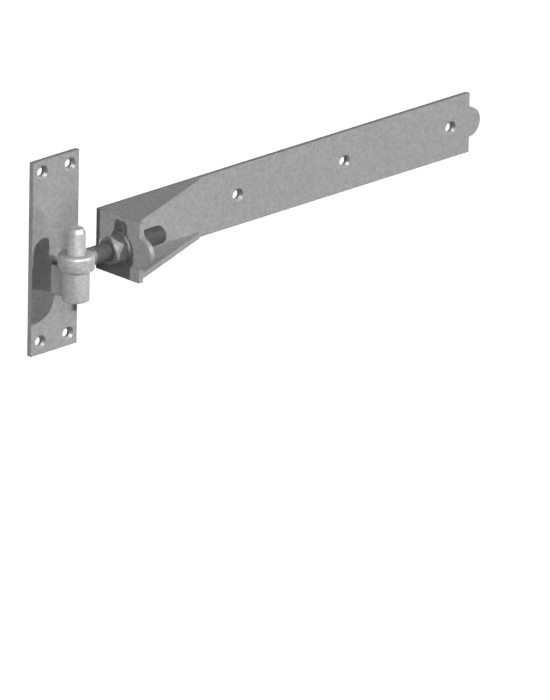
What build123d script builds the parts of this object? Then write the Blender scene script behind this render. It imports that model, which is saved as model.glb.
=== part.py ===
from build123d import *
import os

# Adjustable gate hinge: a post plate with a welded pin, and a long gate strap that hangs
# from the pin on a threaded eye bolt. Two nuts on the bolt clamp the strap's folded end,
# and turning them moves the gate towards or away from the post.
#
# Sizes are millimetres. The origin is the centre of the post plate's back face.
# +X runs along the strap, +Y into the post and the gate, and +Z up along the pin.
# The gate is modelled closed, with the strap in line with the post plate.

# Post plate
plate_width = 55.0
plate_height = 177.0
plate_thickness = 5.0
plate_hole_inset = 11.0

# Countersunk screw holes, the same in the plate and the strap
screw_hole = 8.0
screw_head = 13.0
screw_head_angle = 90.0

# Hinge pin, the boss it is welded into, and the web that carries the boss
pin_diameter = 16.0
pin_offset = 26.0
pin_above_eye = 23.5
pin_taper_height = 3.5
pin_taper_inset = 2.0
boss_diameter = 24.0
boss_height = 28.0
boss_edge = 0.8
web_thickness = 8.0
web_height = 26.0

# Eye that turns on the pin
eye_diameter = 32.0
eye_height = 14.0
eye_edge = 1.6
eye_bore_edge = 0.6

# Threaded rod welded to the eye, its reach measured from the pin's axis
rod_diameter = 16.0
rod_reach = 102.0
rod_end_edge = 1.5

# Nuts and washers on the rod
nut_across_flats = 24.0
nut_height = 13.0
nut_face = 22.5
nut_corner_drop = 1.5
nut_bore_edge = 1.0
washer_diameter = 30.0
washer_thickness = 3.0

# Gate strap: one flat bar with its end folded square across the rod
strap_width = 55.0
strap_thickness = 5.0
strap_length = 450.0
fold_depth = 54.5
fold_round = 1.5
fold_distance = 53.0
tab_radius = 13.5
strap_hole_count = 3
strap_hole_pitch = 130.0
strap_hole_inset = 23.0

# Gussets that brace the fold, flush with the strap's top and bottom edges
gusset_thickness = 5.0
gusset_reach = 114.0
gusset_setback = 4.5
gusset_tip = 2.0

# Clearances, and the softened long edges of rolled bar
pin_clearance = 0.5
bolt_clearance = 0.5
thread_clearance = 0.1
weld_clearance = 0.1
eye_lift = 0.3
bar_edge_round = 0.4

# Places that follow from the sizes above
plate_front = -plate_thickness
pin_y = plate_front - pin_offset
eye_top = eye_height / 2
boss_top = -eye_top - eye_lift
boss_bottom = boss_top - boss_height
pin_top = eye_top + pin_above_eye
fold_inside = fold_distance + strap_thickness
strap_front = -strap_thickness
strap_end = fold_distance + strap_length
strap_top = strap_width / 2
front_washer_start = fold_distance - washer_thickness
front_nut_start = front_washer_start - nut_height
rear_nut_start = fold_inside + washer_thickness


def turned(outline):
    """A body turned about the Z axis from (radius, height) corners."""
    corners = [(radius, 0, height) for radius, height in outline]
    return revolve(make_face(Polyline(corners, close=True)), Axis.Z)


def tube(outer, inner, low, high):
    """A round tube on the Z axis between two heights."""
    return turned([(inner, low), (outer, low), (outer, high), (inner, high)])


def on_pin(body):
    """The body moved from the Z axis to the pin's axis."""
    return Pos(0, pin_y, 0) * body


def on_rod(distance, body):
    """The body laid along the rod, its base at a distance from the pin's axis."""
    return Pos(distance, pin_y, 0) * Rot(0, 90, 0) * body


def widest_rims(body):
    """The circular edges of the largest radius."""
    return body.edges().filter_by(GeomType.CIRCLE).group_by(SortBy.RADIUS)[-1]


def with_screw_holes(body, places, front):
    """The body with countersunk holes at (x, z) places in the face that looks along -Y."""
    for x, z in places:
        face = Plane(origin=(x, front, z), x_dir=(1, 0, 0), z_dir=(0, -1, 0))
        body -= face * CounterSinkHole(screw_hole / 2, screw_head / 2, -2 * front, screw_head_angle)
    return body


def wall_plate():
    """The flat bar that is screwed to the post."""
    plate = Pos(0, plate_front / 2, 0) * Box(plate_width, plate_thickness, plate_height)
    plate = fillet(plate.edges().filter_by(Axis.Z), bar_edge_round)
    across = plate_width / 2 - plate_hole_inset
    up = plate_height / 2 - plate_hole_inset
    corners = [(x, z) for x in (-across, across) for z in (-up, up)]
    return with_screw_holes(plate, corners, plate_front)


def pin_boss():
    """The collar under the eye, which holds the pin and takes the gate's weight."""
    bore = pin_diameter / 2 + weld_clearance
    boss = tube(boss_diameter / 2, bore, boss_bottom, boss_top)
    return on_pin(chamfer(widest_rims(boss), boss_edge))


def pin_web():
    """The block between plate and boss, hollowed to fit round the boss."""
    middle = (plate_front + pin_y) / 2
    web = Pos(0, middle, boss_bottom + web_height / 2) * Box(web_thickness, pin_offset, web_height)
    fit = Cylinder(boss_diameter / 2 + weld_clearance, 2 * boss_height)
    return web - on_pin(Pos(0, 0, boss_bottom) * fit)


def hinge_pin():
    """The fixed pin, tapered at the top so that the eye drops on easily."""
    side = pin_diameter / 2
    tip = side - pin_taper_inset
    shoulder = pin_top - pin_taper_height
    outline = [(0, boss_bottom), (side, boss_bottom), (side, shoulder), (tip, pin_top), (0, pin_top)]
    return on_pin(turned(outline))


def hinge_eye():
    """The ring that turns on the pin, with its bore eased at both ends."""
    outer = eye_diameter / 2
    bore = pin_diameter / 2 + pin_clearance
    mouth = bore + eye_bore_edge
    bore_top = eye_top - eye_bore_edge
    ring = turned([
        (bore, -bore_top), (mouth, -eye_top), (outer, -eye_top),
        (outer, eye_top), (mouth, eye_top), (bore, bore_top),
    ])
    return on_pin(chamfer(widest_rims(ring), eye_edge))


def threaded_rod():
    """The stud welded to the eye, with its inner end hollowed to fit the ring."""
    side = rod_diameter / 2
    tip = side - rod_end_edge
    rod = turned([(0, 0), (side, 0), (side, rod_reach - rod_end_edge), (tip, rod_reach), (0, rod_reach)])
    fit = Cylinder(eye_diameter / 2 + weld_clearance, 2 * rod_diameter)
    return on_rod(0, rod) - on_pin(fit)


def nut(start):
    """A hexagon nut with eased corners, two of them pointing up and down."""
    flat = nut_across_flats / 2
    hexagon = RegularPolygon(flat, 6, major_radius=False)
    blank = extrude(hexagon, nut_height)
    corner = hexagon.vertices().sort_by(Axis.X)[-1].X
    face = nut_face / 2
    upper = nut_height - nut_corner_drop
    easing = [(0, 0), (face, 0), (corner, nut_corner_drop), (corner, upper), (face, nut_height), (0, nut_height)]
    bore = rod_diameter / 2 + thread_clearance
    mouth = bore + nut_bore_edge
    far_edge = nut_height - nut_bore_edge
    hole = [(0, 0), (mouth, 0), (bore, nut_bore_edge), (bore, far_edge), (mouth, nut_height), (0, nut_height)]
    return on_rod(start, (blank & turned(easing)) - turned(hole))


def washer(start):
    """A plain washer that fits loosely on the rod."""
    bore = rod_diameter / 2 + bolt_clearance
    return on_rod(start, tube(washer_diameter / 2, bore, 0, washer_thickness))


def gate_strap():
    """The strap that is screwed to the gate, its end folded square towards the viewer."""
    fold_front = -fold_depth
    plan = Polyline(
        (strap_end, 0), (fold_distance, 0), (fold_distance, fold_front),
        (fold_inside, fold_front), (fold_inside, strap_front), (strap_end, strap_front),
        close=True,
    )
    strap = extrude(make_face(plan), strap_top, both=True)
    upright_edges = strap.edges().filter_by(Axis.Z)
    corner = upright_edges.sort_by_distance((fold_distance, 0, 0))[0]
    strap = fillet(corner, fold_round)
    long_faces = strap.faces().sort_by(Axis.Z)
    strap = fillet(long_faces[0].edges() + long_faces[-1].edges(), bar_edge_round)
    disc = Cylinder(tab_radius, strap_thickness)
    strap += Pos(strap_end, strap_front / 2, 0) * Rot(90, 0, 0) * disc
    strap += Pos(fold_distance + strap_thickness / 2, fold_front, 0) * Rot(0, 90, 0) * disc
    strap -= on_rod(fold_distance, Cylinder(rod_diameter / 2 + bolt_clearance, 2 * strap_thickness))
    last = strap_end - strap_hole_inset
    row = [(last - step * strap_hole_pitch, 0) for step in range(strap_hole_count)]
    return with_screw_holes(strap, row, strap_front)


def upper_gusset():
    """The triangular brace in the top of the fold."""
    fold_edge = gusset_setback - fold_depth
    tip_x = fold_inside + gusset_reach
    plan = Polyline(
        (fold_inside, strap_front), (fold_inside, fold_edge),
        (tip_x, strap_front - gusset_tip), (tip_x, strap_front),
        close=True,
    )
    return Pos(0, 0, strap_top) * extrude(make_face(plan), -gusset_thickness)


def lower_gusset():
    """The matching brace in the bottom of the fold."""
    return mirror(upper_gusset(), Plane.XY)


parts = {
    "wall_plate": wall_plate(),
    "pin_web": pin_web(),
    "pin_boss": pin_boss(),
    "hinge_pin": hinge_pin(),
    "hinge_eye": hinge_eye(),
    "threaded_rod": threaded_rod(),
    "front_nut": nut(front_nut_start),
    "front_washer": washer(front_washer_start),
    "rear_washer": washer(fold_inside),
    "rear_nut": nut(rear_nut_start),
    "gate_strap": gate_strap(),
    "upper_gusset": upper_gusset(),
    "lower_gusset": lower_gusset(),
}

os.makedirs("parts", exist_ok=True)
for name, body in parts.items():
    export_step(body, f"parts/{name}.step")
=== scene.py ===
import bmesh
import bpy
import math
from mathutils import Matrix, Vector


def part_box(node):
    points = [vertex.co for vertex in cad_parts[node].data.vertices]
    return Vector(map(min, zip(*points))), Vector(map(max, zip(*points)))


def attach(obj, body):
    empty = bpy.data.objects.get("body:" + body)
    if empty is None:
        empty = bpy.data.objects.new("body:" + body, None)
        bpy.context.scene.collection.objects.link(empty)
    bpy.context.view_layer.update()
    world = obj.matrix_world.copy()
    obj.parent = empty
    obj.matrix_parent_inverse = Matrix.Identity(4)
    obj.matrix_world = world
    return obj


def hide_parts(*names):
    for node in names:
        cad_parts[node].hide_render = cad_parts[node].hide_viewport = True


# An adjustable gate hinge in galvanised steel, dressed for a plain studio view. The flat bar
# pieces keep their own meshes and get a finish. The turned and threaded pieces are made again
# with rounded rims and a true helical thread, each at the place and size of the node it replaces.

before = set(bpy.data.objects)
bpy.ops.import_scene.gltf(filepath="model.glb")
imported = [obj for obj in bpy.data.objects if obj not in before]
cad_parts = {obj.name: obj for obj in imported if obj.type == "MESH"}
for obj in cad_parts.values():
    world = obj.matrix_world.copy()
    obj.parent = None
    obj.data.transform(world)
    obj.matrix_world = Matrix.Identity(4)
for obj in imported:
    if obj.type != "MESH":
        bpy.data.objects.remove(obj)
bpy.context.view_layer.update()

MM = 0.001

# Camera. The photograph is a parallel view, 700 pixels high, so a very long lens stands far off.
# Its centre is measured in mm to the right of and above a point on the post plate's front.
PHOTO_HEIGHT = 700
PIXELS_PER_MM = 1.1626
CAMERA_LENS = 1200.0
CAMERA_SENSOR = 36.0
CAMERA_AZIMUTH = -44.81
CAMERA_ELEVATION = 20.13
CAMERA_ROLL = 0.975
CAMERA_CLIP_START = 0.1
CAMERA_CLIP_REACH = 3
MEASURED_FROM = (0.5, -5, 0)
PHOTO_CENTRE_RIGHT = 190.12
PHOTO_CENTRE_UP = -80.03

# Room, in metres
FLOOR_DROP = 1.2
FLOOR_SIZE = 30.0
FLOOR_GLOW = 0.62
WORLD_LIGHT = 0.005

# Lamps: the direction that each stands in, its strength, and its disc's width in degrees
LAMPS = {
    "right_key": ((0.475, -0.742, 0.475), 2.4, 0.6),
    "left_key": ((-0.45, -0.75, 0.46), 0.62, 0.6),
    "left_side": ((-0.992, 0.0, 0.126), 1.28, 0.6),
    "low_fill": ((0.625, -0.718, -0.309), 0.47, 0.6),
    "rear_fill": ((0.36, 0.93, -0.06), 2.8, 4.0),
}

# Lamps that only add shine, so that rims and tapers gleam while the flats stay matt
SHINE = {
    "right_shine": ((0.475, -0.742, 0.475), 9.0, 4.0),
    "left_shine": ((-0.45, -0.75, 0.46), 17.0, 4.0),
}

# Finish: how far the gloss wanders, and the zinc crystals' size as a share of the mottle's
GLOSS_SPREAD = 0.06
CRYSTAL_SHARE = 0.6

# Thread, as on an M16 bar: 2 mm pitch, with the flats of the standard form. Crest and root
# are shares of half a turn, measured from the middle of the crest: flat up to the first, and
# flat again from the second.
THREAD_PITCH = 2.0 * MM
THREAD_DEPTH = 1.227 * MM
THREAD_CLEARANCE = 0.1 * MM
THREAD_CREST = 0.125
THREAD_ROOT = 0.75
RINGS_PER_TURN = 24
SHANK_END = 17.5 * MM
THREAD_RUN_OUT = 1.5 * MM
ROD_END_EDGE = 1.5 * MM

# A nut's bore has no tip and no shank: these values lie too far off to change it
NO_TIP = 1.0
NO_SHANK = -1.0

# Rims and fits of the turned pieces
EYE_RIM = 1.3 * MM
EYE_BORE_RIM = 0.6 * MM
EYE_CLEARANCE = 0.5 * MM
WELD_CLEARANCE = 0.1 * MM
BOSS_RIM = 0.8 * MM
PIN_TAPER_INSET = 2 * MM
PIN_TAPER_HEIGHT = 3.5 * MM
PIN_SHOULDER_REACH = 0.2 * MM
PIN_SHOULDER_INSET = 0.15 * MM
PIN_TIP_RIM = 0.5 * MM
WASHER_RIM = 0.5 * MM
WASHER_ROOM = 0.02 * MM
WASHER_CLEARANCE = 0.5 * MM

# The ring's upper rim: how far in from the side and down from the top each point lies, in mm
EYE_TOP_RIM = ((0, 2.4), (0.1, 1.9), (0.7, 0.7), (1.1, 0.2), (1.6, 0))

# Nuts: the round face's radius, the chamfer outside it, and the bore's open mouth
NUT_FACE = 11.25 * MM
NUT_CHAMFER_SLOPE = math.tan(math.radians(45))
NUT_MOUTH = 1.0 * MM
NUT_SIDE = math.pi / 3
HALF_NUT_SIDE = math.pi / 6
END_TOLERANCE = 0.1 * MM

TURNED_SEGMENTS = 96
NUT_SEGMENTS = 48
ROD_SEGMENTS = 32
SHARP_ANGLE = 30

MATH = "ShaderNodeMath"


def linear(colour):
    """An sRGB hex colour as linear red, green, blue and alpha."""
    parts = [int(colour[i:i + 2], 16) / 255 for i in (1, 3, 5)]
    return [c / 12.92 if c <= 0.04045 else ((c + 0.055) / 1.055) ** 2.4 for c in parts] + [1.0]


def node(tree, kind, inputs=None, **settings):
    """Adds a node, sets its properties, and fills its inputs by name or number.

    An input takes a plain value, another node's socket, or a node, whose first output is linked.
    """
    made = tree.nodes.new(kind)
    for key, value in settings.items():
        setattr(made, key, value)
    for key, value in (inputs or {}).items():
        if isinstance(value, bpy.types.Node):
            value = value.outputs[0]
        if isinstance(value, bpy.types.NodeSocket):
            tree.links.new(value, made.inputs[key])
        else:
            made.inputs[key].default_value = value
    return made


def metal(name, dark, light, metallic, roughness, mottle, grain, bump, squeeze=1.0):
    """Galvanised steel: a mottle, a finer grain and slight unevenness, all sized in mm.

    A squeeze above 1 flattens the grain into rings about the Z axis.
    """
    material = bpy.data.materials.new(name)
    material.use_nodes = True
    tree = material.node_tree
    tree.nodes.clear()
    place = node(tree, "ShaderNodeTexCoord").outputs["Object"]
    cloud = node(tree, "ShaderNodeTexNoise", {
        "Vector": place, "Scale": 1 / (mottle * MM), "Detail": 3.0, "Roughness": 0.6,
    }).outputs["Fac"]
    crystals = node(tree, "ShaderNodeTexVoronoi", {
        "Vector": place, "Scale": 1 / (CRYSTAL_SHARE * mottle * MM), "Randomness": 1.0,
    })
    marks = node(tree, "ShaderNodeMapping", {"Vector": place, "Scale": (1.0, 1.0, squeeze)})
    fine = node(tree, "ShaderNodeTexNoise", {
        "Vector": marks, "Scale": 1 / (grain * MM), "Detail": 2.0, "Roughness": 0.5,
    })
    flake = node(tree, "ShaderNodeSeparateColor", {"Color": crystals.outputs["Color"]})
    patches = node(tree, MATH, {
        0: cloud, 1: flake.outputs["Red"], 2: fine.outputs["Fac"],
    }, operation="MULTIPLY_ADD")
    tone = node(tree, "ShaderNodeMapRange", {
        "Value": patches, "From Min": 0.5, "From Max": 1.0, "To Min": 0.0, "To Max": 1.0,
    })
    colour = node(tree, "ShaderNodeMix", {
        "Factor": tone, "A": linear(dark), "B": linear(light),
    }, data_type="RGBA")
    gloss = node(tree, "ShaderNodeMapRange", {
        "Value": cloud, "From Min": 0.3, "From Max": 0.7,
        "To Min": roughness - GLOSS_SPREAD, "To Max": roughness + GLOSS_SPREAD,
    })
    relief = node(tree, "ShaderNodeBump", {
        "Height": patches, "Strength": 1.0, "Distance": bump * MM,
    })
    shader = node(tree, "ShaderNodeBsdfPrincipled", {
        "Base Color": colour.outputs[2], "Roughness": gloss, "Metallic": metallic,
        "Normal": relief, "Specular IOR Level": 0.0,
    })
    node(tree, "ShaderNodeOutputMaterial", {"Surface": shader})
    return material


# In all of these the zinc's grain is drawn as coarse as it needs to be to show in the render.
# Hot-dip galvanised flat bar: dull grey zinc with a soft mottle, no bright spangle
galvanised_bar = metal("galvanised_bar", "#9E9E9E", "#AEAEAE", metallic=0.045, roughness=0.42,
                       mottle=4.0, grain=1.3, bump=0.01)
# Galvanised turned steel: smoother, so its rims catch the light, and painted a lighter grey than the
# bar's, which stands in for the light falling on its round faces. Its grain is squeezed into lathe marks
# 1 mm high, far coarser than real ones, so that they show.
galvanised_turned = metal("galvanised_turned", "#AAAAAA", "#C0C0C0", metallic=0.1, roughness=0.52,
                          mottle=3.0, grain=6.0, bump=0.005, squeeze=6.0)
# Galvanised thread: duller, and a darker grey than the bar's
galvanised_thread = metal("galvanised_thread", "#8E8E8E", "#9A9A9A", metallic=0.025, roughness=0.45,
                          mottle=3.0, grain=1.2, bump=0.005)
# Galvanised washers: an even satin grey
galvanised_fastener = metal("galvanised_fastener", "#A2A2A2", "#B2B2B2", metallic=0.025,
                            roughness=0.45, mottle=3.0, grain=1.2, bump=0.005)
# Galvanised forged nuts: the same grey, with a little more metal in it to light the chamfers
galvanised_nut = metal("galvanised_nut", "#A2A2A2", "#B2B2B2", metallic=0.06, roughness=0.52,
                       mottle=3.0, grain=1.2, bump=0.005)


def thread_tree():
    """A helical thread along +X: turned copies of one section, swept along a straight line."""
    tree = bpy.data.node_groups.new("screw_thread", "GeometryNodeTree")
    face = tree.interface
    face.new_socket("Geometry", in_out="OUTPUT", socket_type="NodeSocketGeometry")
    for name, kind in (
        ("Start", "NodeSocketFloat"), ("Length", "NodeSocketFloat"), ("Pitch", "NodeSocketFloat"),
        ("Crest radius", "NodeSocketFloat"), ("Root radius", "NodeSocketFloat"),
        ("Tip radius", "NodeSocketFloat"), ("Mouth radius", "NodeSocketFloat"),
        ("Cope radius", "NodeSocketFloat"), ("Shank", "NodeSocketFloat"), ("Run-out", "NodeSocketFloat"),
        ("Sides", "NodeSocketInt"), ("Rings per turn", "NodeSocketInt"),
        ("Capped", "NodeSocketBool"), ("Material", "NodeSocketMaterial"),
    ):
        face.new_socket(name, in_out="INPUT", socket_type=kind)
    given = node(tree, "NodeGroupInput").outputs

    # The spine: a straight line in even steps, each turned a little further than the last
    turns = node(tree, MATH, {0: given["Length"], 1: given["Pitch"]}, operation="DIVIDE")
    steps = node(tree, MATH, {0: turns, 1: given["Rings per turn"]}, operation="MULTIPLY")
    whole = node(tree, MATH, {0: steps}, operation="ROUND")
    rings = node(tree, MATH, {0: whole, 1: 1.0}, operation="ADD")
    end = node(tree, "ShaderNodeCombineXYZ", {"X": given["Length"]})
    line = node(tree, "GeometryNodeCurvePrimitiveLine", {"End": end})
    spine = node(tree, "GeometryNodeResampleCurve", {"Curve": line, "Count": rings})
    reached = node(tree, "GeometryNodeSplineParameter").outputs["Length"]
    along = node(tree, MATH, {0: reached, 1: given["Start"]}, operation="ADD")
    pitches = node(tree, MATH, {0: along, 1: given["Pitch"]}, operation="DIVIDE")
    turn = node(tree, MATH, {0: pitches, 1: math.tau}, operation="MULTIPLY")
    twisted = node(tree, "GeometryNodeSetCurveTilt", {"Curve": spine, "Tilt": turn})

    # The section: a circle pressed out to the crest on one side and in to the root on the other
    circle = node(tree, "GeometryNodeCurvePrimitiveCircle", {
        "Resolution": given["Sides"], "Radius": 1.0,
    })
    number = node(tree, "GeometryNodeInputIndex")
    share = node(tree, MATH, {0: number, 1: given["Sides"]}, operation="DIVIDE")
    to_side = node(tree, MATH, {0: share, 1: 2.0, 2: -1.0}, operation="MULTIPLY_ADD")
    from_crest = node(tree, MATH, {0: to_side}, operation="ABSOLUTE")
    radius = node(tree, "ShaderNodeMapRange", {
        "Value": from_crest, "From Min": THREAD_CREST, "From Max": THREAD_ROOT,
        "To Min": given["Crest radius"], "To Max": given["Root radius"],
    })
    rim = node(tree, "ShaderNodeVectorMath", {
        0: node(tree, "GeometryNodeInputPosition"), "Scale": radius,
    }, operation="SCALE")
    section = node(tree, "GeometryNodeSetPosition", {"Geometry": circle, "Position": rim})
    swept = node(tree, "GeometryNodeCurveToMesh", {
        "Curve": twisted, "Profile Curve": section, "Fill Caps": given["Capped"],
    })

    # Distance of each point from the two ends, and from the axis
    at = node(tree, "ShaderNodeSeparateXYZ", {0: node(tree, "GeometryNodeInputPosition")})
    x, y, z = at.outputs
    to_far_end = node(tree, MATH, {0: given["Length"], 1: x}, operation="SUBTRACT")
    to_nearer_end = node(tree, MATH, {0: x, 1: to_far_end}, operation="MINIMUM")
    y_squared = node(tree, MATH, {0: y, 1: y}, operation="MULTIPLY")
    z_squared = node(tree, MATH, {0: z, 1: z}, operation="MULTIPLY")
    squares = node(tree, MATH, {0: y_squared, 1: z_squared}, operation="ADD")
    out = node(tree, MATH, {0: squares}, operation="SQRT")

    # The thread runs out into the shank, is eased at its tip, and opens at a nut's mouths
    past_shank = node(tree, MATH, {0: x, 1: given["Shank"]}, operation="SUBTRACT")
    formed = node(tree, "ShaderNodeMapRange", {
        "Value": past_shank, "From Max": given["Run-out"],
        "To Min": given["Crest radius"], "To Max": out,
    })
    tip = node(tree, MATH, {0: given["Tip radius"], 1: to_far_end}, operation="ADD")
    eased = node(tree, MATH, {0: formed, 1: tip}, operation="MINIMUM")
    mouth = node(tree, MATH, {0: given["Mouth radius"], 1: to_nearer_end}, operation="SUBTRACT")
    opened = node(tree, MATH, {0: eased, 1: mouth}, operation="MAXIMUM")
    stretch = node(tree, MATH, {0: opened, 1: out}, operation="DIVIDE")
    new_y = node(tree, MATH, {0: y, 1: stretch}, operation="MULTIPLY")
    new_z = node(tree, MATH, {0: z, 1: stretch}, operation="MULTIPLY")

    # The near end is hollowed to a circle about the pin's axis, and blends into the straight shank
    fit = given["Cope radius"]
    fit_squared = node(tree, MATH, {0: fit, 1: fit}, operation="MULTIPLY")
    new_y_squared = node(tree, MATH, {0: new_y, 1: new_y}, operation="MULTIPLY")
    rest = node(tree, MATH, {0: fit_squared, 1: new_y_squared}, operation="SUBTRACT")
    rest_or_none = node(tree, MATH, {0: rest, 1: 0.0}, operation="MAXIMUM")
    cope = node(tree, MATH, {0: rest_or_none}, operation="SQRT")
    hollow = node(tree, MATH, {0: cope, 1: given["Start"]}, operation="SUBTRACT")
    blended = node(tree, "ShaderNodeMapRange", {
        "Value": x, "From Max": given["Shank"], "To Min": hollow, "To Max": given["Shank"],
    })
    in_shank = node(tree, MATH, {0: x, 1: given["Shank"]}, operation="LESS_THAN")
    new_x = node(tree, "ShaderNodeMix", {"Factor": in_shank, "A": x, "B": blended})
    from_pin = node(tree, MATH, {0: new_x, 1: given["Start"]}, operation="ADD")
    moved = node(tree, "ShaderNodeCombineXYZ", {"X": from_pin, "Y": new_y, "Z": new_z})
    placed = node(tree, "GeometryNodeSetPosition", {"Geometry": swept, "Position": moved})
    real = node(tree, "GeometryNodeRealizeInstances", {"Geometry": placed})
    finished = node(tree, "GeometryNodeSetMaterial", {
        "Geometry": real, "Material": given["Material"],
    })
    node(tree, "NodeGroupOutput", {"Geometry": finished})
    return tree


def grown(name, tree, **sizes):
    """The plain mesh that a tree makes from these named sizes."""
    holder = bpy.data.objects.new(name, bpy.data.meshes.new(name))
    bpy.context.scene.collection.objects.link(holder)
    modifier = holder.modifiers.new("shape", "NODES")
    modifier.node_group = tree
    inputs = {s.name.replace(" ", "_").replace("-", "_").lower(): s.identifier
              for s in tree.interface.items_tree if s.in_out == "INPUT"}
    for key, value in sizes.items():
        modifier[inputs[key]] = value
    graph = bpy.context.evaluated_depsgraph_get()
    mesh = bpy.data.meshes.new_from_object(holder.evaluated_get(graph))
    bpy.data.objects.remove(holder)
    return mesh


def piece(name, mesh, material, body, slot, *nodes):
    """The finished piece, riding on its body in place of its nodes."""
    mesh.materials.clear()
    mesh.materials.append(material)
    mesh.polygons.foreach_set("use_smooth", [True] * len(mesh.polygons))
    mesh.set_sharp_from_angle(angle=math.radians(SHARP_ANGLE))
    made = bpy.data.objects.new(name, mesh)
    bpy.context.scene.collection.objects.link(made)
    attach(made, body)
    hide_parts(*nodes)


def arc(centre, radius, start, end, steps=6):
    """Points of a rounded rim, from one angle to another in degrees."""
    angles = [math.radians(start + (end - start) * i / steps) for i in range(steps + 1)]
    return [(centre[0] + radius * math.cos(a), centre[1] + radius * math.sin(a)) for a in angles]


def finished_mesh(name, form):
    """The mesh of a form whose faces all look outwards. The form is used up."""
    bmesh.ops.recalc_face_normals(form, faces=form.faces)
    mesh = bpy.data.meshes.new(name)
    form.to_mesh(mesh)
    form.free()
    return mesh


def lathe(name, outline, turn, closed=False):
    """A mesh turned about Z from (radius, height) points, then put in place by a matrix."""
    form = bmesh.new()
    rows = []
    for radius, height in outline:
        if radius == 0:
            rows.append([form.verts.new((0, 0, height))])
            continue
        angles = [math.tau * i / TURNED_SEGMENTS for i in range(TURNED_SEGMENTS)]
        rows.append([form.verts.new((radius * math.cos(a), radius * math.sin(a), height))
                     for a in angles])
    pairs = list(zip(rows, rows[1:]))
    if closed:
        pairs.append((rows[-1], rows[0]))
    for low, high in pairs:
        for i in range(TURNED_SEGMENTS):
            j = (i + 1) % TURNED_SEGMENTS
            corners = [low[i % len(low)], low[j % len(low)], high[j % len(high)], high[i % len(high)]]
            form.faces.new(list(dict.fromkeys(corners)))
    form.transform(turn)
    return finished_mesh(name, form)


def nut(name, thread, start, length, flats):
    """A hexagon nut with chamfered corners and a threaded bore, its thread in step with the rod's."""
    crest = rod_radius + THREAD_CLEARANCE
    bore = grown(name + "_bore", thread, start=start, length=length, pitch=THREAD_PITCH,
                 crest_radius=crest, root_radius=crest - THREAD_DEPTH,
                 tip_radius=NO_TIP, mouth_radius=crest + NUT_MOUTH,
                 cope_radius=0.0, shank=NO_SHANK, run_out=THREAD_RUN_OUT, sides=NUT_SEGMENTS,
                 rings_per_turn=RINGS_PER_TURN, capped=False, material=galvanised_nut)
    form = bmesh.new()
    form.from_mesh(bore)
    bpy.data.meshes.remove(bore)
    ends = [e for e in form.edges if e.is_boundary]
    mouths = [[e for e in ends if abs(e.verts[0].co.x - x) < END_TOLERANCE]
              for x in (start, start + length)]
    rows = []
    for side, inward in ((start, 1), (start + length, -1)):
        flat_row, edge_row = [], []
        for i in range(NUT_SEGMENTS):
            angle = math.tau * i / NUT_SEGMENTS
            within = (angle + HALF_NUT_SIDE) % NUT_SIDE - HALF_NUT_SIDE
            reach = flats / math.cos(within)
            spot = Vector((0, math.sin(angle + HALF_NUT_SIDE), math.cos(angle + HALF_NUT_SIDE)))
            flat_row.append(form.verts.new(spot * NUT_FACE + Vector((side, 0, 0))))
            depth = (reach - NUT_FACE) * NUT_CHAMFER_SLOPE
            edge_row.append(form.verts.new(spot * reach + Vector((side + inward * depth, 0, 0))))
        rows += [flat_row, edge_row] if inward == 1 else [edge_row, flat_row]
    for low, high in zip(rows, rows[1:]):
        for i in range(NUT_SEGMENTS):
            j = (i + 1) % NUT_SEGMENTS
            form.faces.new((low[i], low[j], high[j], high[i]))
    for mouth, row in zip(mouths, (rows[0], rows[-1])):
        rim = [form.edges.get((row[i], row[(i + 1) % NUT_SEGMENTS])) for i in range(NUT_SEGMENTS)]
        bmesh.ops.bridge_loops(form, edges=mouth + rim)
    form.transform(Matrix.Translation((0, pin_y, 0)))
    return finished_mesh(name, form)


# Places read from the imported parts
pin_low, pin_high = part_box("hinge_pin")
eye_low, eye_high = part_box("hinge_eye")
boss_low, boss_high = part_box("pin_boss")
rod_low, rod_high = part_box("threaded_rod")
pin_x = (pin_low.x + pin_high.x) / 2
pin_y = (pin_low.y + pin_high.y) / 2
pin_radius = (pin_high.x - pin_low.x) / 2
eye_radius = (eye_high.x - eye_low.x) / 2
boss_radius = (boss_high.x - boss_low.x) / 2
rod_radius = (rod_high.z - rod_low.z) / 2
on_pin = Matrix.Translation((pin_x, pin_y, 0))
along_rod = Matrix.Translation((0, pin_y, 0)) @ Matrix.Rotation(math.pi / 2, 4, "Y")


def turned_pin():
    """The pin, its taper blended softly into its side and its flat top."""
    tip = pin_radius - PIN_TAPER_INSET
    shoulder = pin_high.z - PIN_TAPER_HEIGHT
    return lathe("hinge_pin", [
        (0, pin_low.z), (pin_radius, pin_low.z), (pin_radius, shoulder - PIN_SHOULDER_REACH),
        (pin_radius - PIN_SHOULDER_INSET, shoulder + PIN_SHOULDER_REACH),
        *arc((tip - PIN_TIP_RIM, pin_high.z - PIN_TIP_RIM), PIN_TIP_RIM, 30, 90),
        (0, pin_high.z),
    ], on_pin)


def turned_eye():
    """The ring, with its outer rims well rounded and its bore eased."""
    inner = pin_radius + EYE_CLEARANCE + EYE_BORE_RIM
    outer = eye_radius - EYE_RIM
    top, low = eye_high.z, eye_low.z
    return lathe("hinge_eye", [
        *arc((outer, low + EYE_RIM), EYE_RIM, -90, 0),
        *[(eye_radius - inset * MM, top - drop * MM) for inset, drop in EYE_TOP_RIM],
        *arc((inner, top - EYE_BORE_RIM), EYE_BORE_RIM, 90, 180, 3),
        *arc((inner, low + EYE_BORE_RIM), EYE_BORE_RIM, 180, 270, 3),
    ], on_pin, closed=True)


def turned_boss():
    """The collar, its two outer rims slightly rounded."""
    bore = pin_radius + WELD_CLEARANCE
    outer = boss_radius - BOSS_RIM
    top, low = boss_high.z, boss_low.z
    return lathe("pin_boss", [
        (bore, low), *arc((outer, low + BOSS_RIM), BOSS_RIM, -90, 0, 4),
        *arc((outer, top - BOSS_RIM), BOSS_RIM, 0, 90, 4), (bore, top),
    ], on_pin, closed=True)


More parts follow.
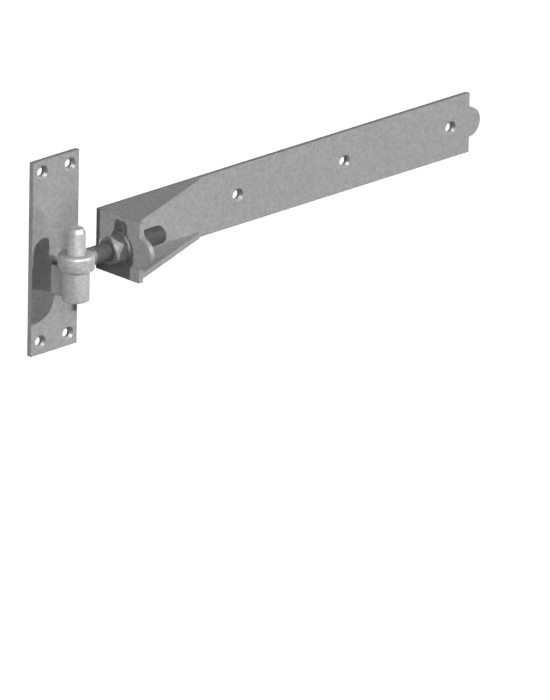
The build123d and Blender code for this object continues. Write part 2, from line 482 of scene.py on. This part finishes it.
def washer(name):
    """A punched washer, its rims rounded by the zinc, and just clear of nut and strap."""
    low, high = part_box(name)
    near, far = low.x + WASHER_ROOM, high.x - WASHER_ROOM
    bore = rod_radius + WASHER_CLEARANCE
    outer = (high.z - low.z) / 2 - WASHER_RIM
    return lathe(name, [
        (bore, near), *arc((outer, near + WASHER_RIM), WASHER_RIM, -90, 0, 4),
        *arc((outer, far - WASHER_RIM), WASHER_RIM, 0, 90, 4), (bore, far),
    ], along_rod, closed=True)


for bar in ("wall_plate", "pin_web", "gate_strap", "upper_gusset", "lower_gusset"):
    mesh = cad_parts[bar].data
    mesh.materials.clear()
    mesh.materials.append(galvanised_bar)

piece("tapered_pin", turned_pin(), galvanised_turned, "post_side", "galvanised_turned", "hinge_pin")
piece("pin_collar", turned_boss(), galvanised_turned, "post_side", "galvanised_turned", "pin_boss")
piece("rounded_eye", turned_eye(), galvanised_turned, "eye_bolt", "galvanised_turned", "hinge_eye")

thread = thread_tree()
cope_radius = eye_radius + WELD_CLEARANCE
rod_start = math.sqrt(cope_radius ** 2 - rod_radius ** 2)
rod_mesh = grown("thread", thread, start=rod_start, length=rod_high.x - rod_start, pitch=THREAD_PITCH,
                 crest_radius=rod_radius, root_radius=rod_radius - THREAD_DEPTH,
                 tip_radius=rod_radius - ROD_END_EDGE, mouth_radius=0.0, cope_radius=cope_radius,
                 shank=SHANK_END - rod_start, run_out=THREAD_RUN_OUT, sides=ROD_SEGMENTS,
                 rings_per_turn=RINGS_PER_TURN, capped=True, material=galvanised_thread)
rod_mesh.transform(Matrix.Translation((0, pin_y, 0)))
piece("screw_rod", rod_mesh, galvanised_thread, "eye_bolt", "galvanised_thread", "threaded_rod")
for place in ("front", "rear"):
    low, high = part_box(place + "_nut")
    mesh = nut(place + "_hexagon", thread, low.x, high.x - low.x, (high.y - low.y) / 2)
    piece(place + "_hexagon_nut", mesh, galvanised_nut, place + "_nut_body", "galvanised_fastener",
          place + "_nut")
    piece(place + "_plain_washer", washer(place + "_washer"), galvanised_fastener, "gate_side",
          "galvanised_fastener", place + "_washer")


def camera():
    """The camera at the photograph's angle, far off with a long lens."""
    azimuth, elevation = math.radians(CAMERA_AZIMUTH), math.radians(CAMERA_ELEVATION)
    back = Vector((math.sin(azimuth) * math.cos(elevation), -math.cos(azimuth) * math.cos(elevation),
                   math.sin(elevation)))
    right = Vector((math.cos(azimuth), math.sin(azimuth), 0))
    up = back.cross(right)
    roll = math.radians(CAMERA_ROLL)
    rolled_right = right * math.cos(roll) + up * math.sin(roll)
    rolled_up = up * math.cos(roll) - right * math.sin(roll)
    centre = (Vector(MEASURED_FROM) * MM + right * PHOTO_CENTRE_RIGHT * MM
              + up * PHOTO_CENTRE_UP * MM)
    seen_height = PHOTO_HEIGHT / PIXELS_PER_MM * MM
    distance = seen_height * CAMERA_LENS / CAMERA_SENSOR
    lens = bpy.data.cameras.new("camera")
    lens.lens, lens.sensor_width = CAMERA_LENS, CAMERA_SENSOR
    lens.clip_start, lens.clip_end = CAMERA_CLIP_START, CAMERA_CLIP_REACH * distance
    made = bpy.data.objects.new("camera", lens)
    made.matrix_world = Matrix.Translation(centre + back * distance) @ Matrix(
        (rolled_right, rolled_up, back)).transposed().to_4x4()
    bpy.context.scene.collection.objects.link(made)
    bpy.context.scene.camera = made


def lamps():
    """Distant lamps with small discs, for crisp shadows, and the shine lamps, which give no
    diffuse light and so add glints alone."""
    for name, (source, strength, disc) in {**LAMPS, **SHINE}.items():
        light = bpy.data.lights.new(name, "SUN")
        light.energy, light.angle = strength, math.radians(disc)
        made = bpy.data.objects.new(name, light)
        made.rotation_euler = Vector(source).to_track_quat("Z", "Y").to_euler()
        made.visible_diffuse = name in LAMPS
        bpy.context.scene.collection.objects.link(made)


def seen_rays(tree):
    """1 for the rays that show the background: camera, glossy and transmission rays."""
    path = node(tree, "ShaderNodeLightPath").outputs
    some = node(tree, MATH, {
        0: path["Is Camera Ray"], 1: path["Is Glossy Ray"],
    }, operation="MAXIMUM")
    return node(tree, MATH, {0: some, 1: path["Is Transmission Ray"]}, operation="MAXIMUM")


def studio():
    """A white room: a plain floor well below the hinge, and a white world. Both look white but
    throw almost no light, so that the shadows stay dark."""
    world = bpy.data.worlds.new("white_room")
    world.use_nodes = True
    tree = world.node_tree
    tree.nodes.clear()
    level = node(tree, "ShaderNodeMapRange", {
        "Value": seen_rays(tree), "To Min": WORLD_LIGHT, "To Max": 1.0,
    })
    glow = node(tree, "ShaderNodeBackground", {"Color": linear("#FFFFFF"), "Strength": level})
    node(tree, "ShaderNodeOutputWorld", {"Surface": glow})
    bpy.context.scene.world = world

    material = bpy.data.materials.new("white_floor")
    material.use_nodes = True
    tree = material.node_tree
    tree.nodes.clear()
    paint = node(tree, "ShaderNodeBsdfDiffuse", {"Color": linear("#F2F2F2")})
    shine = node(tree, "ShaderNodeEmission", {"Color": linear("#FFFFFF"), "Strength": FLOOR_GLOW})
    bright = node(tree, "ShaderNodeAddShader", {0: paint, 1: shine})
    dull = node(tree, "ShaderNodeBsdfDiffuse", {"Color": linear("#101010")})
    both = node(tree, "ShaderNodeMixShader", {0: seen_rays(tree), 1: dull, 2: bright})
    node(tree, "ShaderNodeOutputMaterial", {"Surface": both})
    form = bmesh.new()
    bmesh.ops.create_grid(form, x_segments=1, y_segments=1, size=FLOOR_SIZE / 2)
    form.transform(Matrix.Translation((0, 0, -FLOOR_DROP)))
    mesh = bpy.data.meshes.new("floor")
    form.to_mesh(mesh)
    form.free()
    mesh.materials.append(material)
    floor = bpy.data.objects.new("floor", mesh)
    bpy.context.scene.collection.objects.link(floor)
    # Two of the lamps stand below the floor's level, and it must not hide them from the hinge
    floor.visible_shadow = False


camera()
lamps()
studio()
bpy.context.scene.view_settings.view_transform = "Standard"
